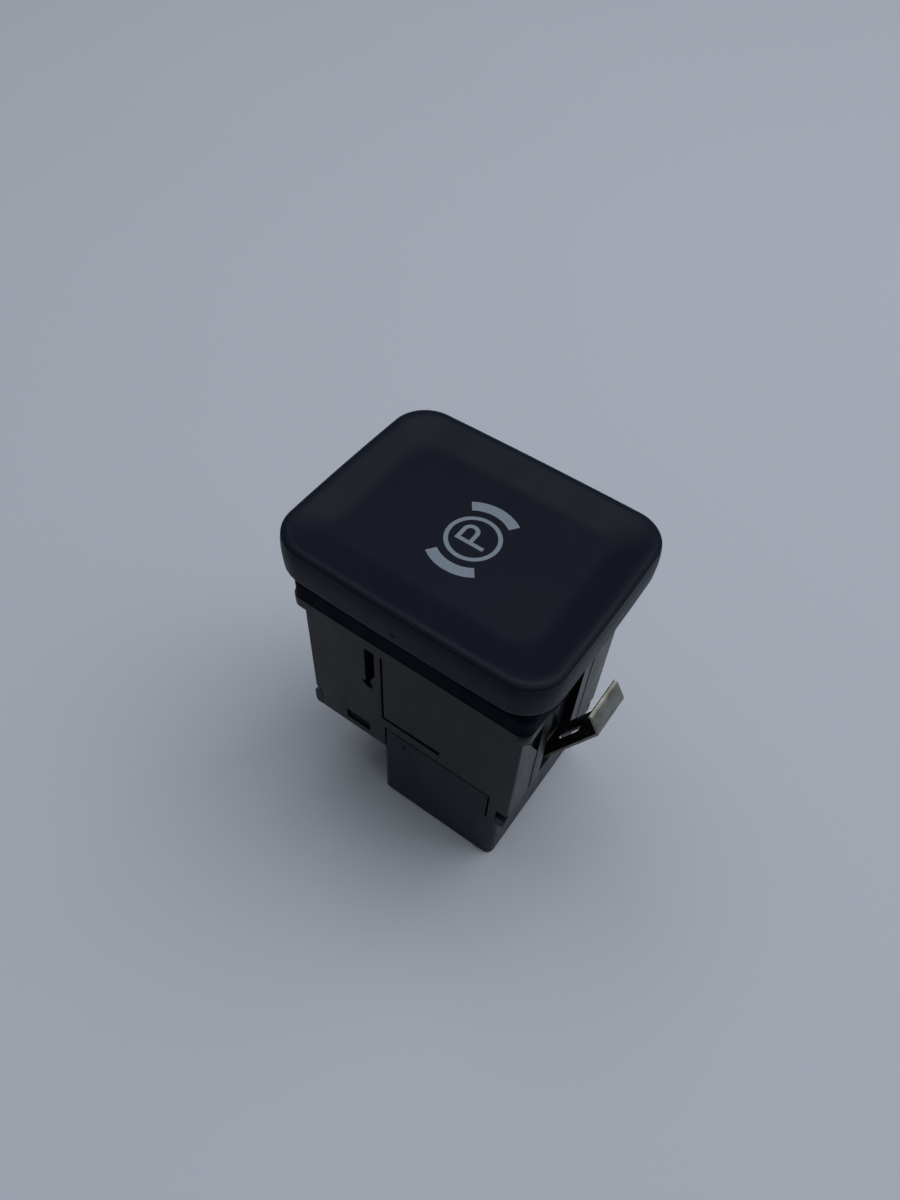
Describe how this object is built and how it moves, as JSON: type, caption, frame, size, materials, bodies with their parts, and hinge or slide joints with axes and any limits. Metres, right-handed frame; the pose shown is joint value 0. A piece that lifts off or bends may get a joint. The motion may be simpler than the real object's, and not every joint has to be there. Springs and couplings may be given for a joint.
{
  "type": "parking brake switch",
  "caption": "Parking brake push switch: a dished press cap with a brake symbol on a sprung plunger, in a snap-in housing with retaining clips and a connector socket.",
  "frame": {"origin": "centre of the part at the connector's rim, on which it stands, under the centre of the cap", "axes": "+Z out of the press face, +Y to the top of the symbol's letter, +X to its right"},
  "size_m": [0.0308, 0.0459, 0.0524],
  "materials": {
    "cap_plastic": "fine satin grain",
    "symbol_plastic": "translucent white",
    "light_guide_plastic": "clear, polished",
    "slider_plastic": "as moulded",
    "collar_plastic": "as moulded",
    "housing_plastic": "as moulded, slightly glossy",
    "cover_plastic": "as moulded, slightly glossy",
    "board_laminate": "green lacquer",
    "switch_plastic": "as moulded",
    "switch_button_plastic": "as moulded",
    "lamp_resin": "clear resin",
    "resistor_ceramic": "glazed",
    "terminal_tin": "tinned",
    "spring_wire": "drawn wire",
    "clip_steel": "rolled strip"
  },
  "bodies": {
    "base": {"guide_collar": "collar_plastic", "housing": "housing_plastic", "rear_cover": "cover_plastic", "circuit_board": "board_laminate", "microswitch_lower": "switch_plastic", "microswitch_upper": "switch_plastic", "lamp_left": "lamp_resin", "lamp_right": "lamp_resin", "return_spring_left": "spring_wire", "return_spring_right": "spring_wire", "terminal_1": "terminal_tin", "terminal_2": "terminal_tin", "terminal_3": "terminal_tin", "terminal_4": "terminal_tin", "terminal_5": "terminal_tin", "terminal_6": "terminal_tin", "terminal_7": "terminal_tin", "terminal_8": "terminal_tin", "terminal_9": "terminal_tin", "terminal_10": "terminal_tin", "resistor_1": "resistor_ceramic", "resistor_2": "resistor_ceramic", "resistor_3": "resistor_ceramic", "resistor_4": "resistor_ceramic"},
    "button": {"cap": "cap_plastic", "symbol_window": "symbol_plastic", "light_guide": "light_guide_plastic", "slider": "slider_plastic"},
    "switch_button_lower": {"microswitch_button_lower": "switch_button_plastic"},
    "switch_button_upper": {"microswitch_button_upper": "switch_button_plastic"},
    "lower_clip": {"lower_clip": "clip_steel"},
    "upper_clip": {"upper_clip": "clip_steel"}
  },
  "joints": [
    {"name": "cap_press", "type": "slide", "parent": "base", "child": "button", "axis": [0, 0, -1], "range_m": [0, 0.0018], "stiffness_N_per_m": 2000, "springref_m": -0.0005, "deforming": ["return_spring_left", "return_spring_right"]},
    {"name": "lower_button_press", "type": "slide", "parent": "base", "child": "switch_button_lower", "axis": [0, 0, -1], "range_m": [0, 0.0018]},
    {"name": "upper_button_press", "type": "slide", "parent": "base", "child": "switch_button_upper", "axis": [0, 0, -1], "range_m": [0, 0.0018]},
    {"name": "lower_clip_flex", "type": "hinge", "parent": "base", "child": "lower_clip", "pos_m": [0, -0.0146, 0.0178], "axis": [-1, 0, 0], "range_deg": [0, 14], "stiffness_Nm_per_rad": 0.6},
    {"name": "upper_clip_flex", "type": "hinge", "parent": "base", "child": "upper_clip", "pos_m": [0, 0.01515, 0.0178], "axis": [1, 0, 0], "range_deg": [0, 14], "stiffness_Nm_per_rad": 0.6}
  ],
  "couplings": [
    {"joint": "lower_button_press", "follows": "cap_press", "ratio": 1},
    {"joint": "upper_button_press", "follows": "cap_press", "ratio": 1}
  ]
}
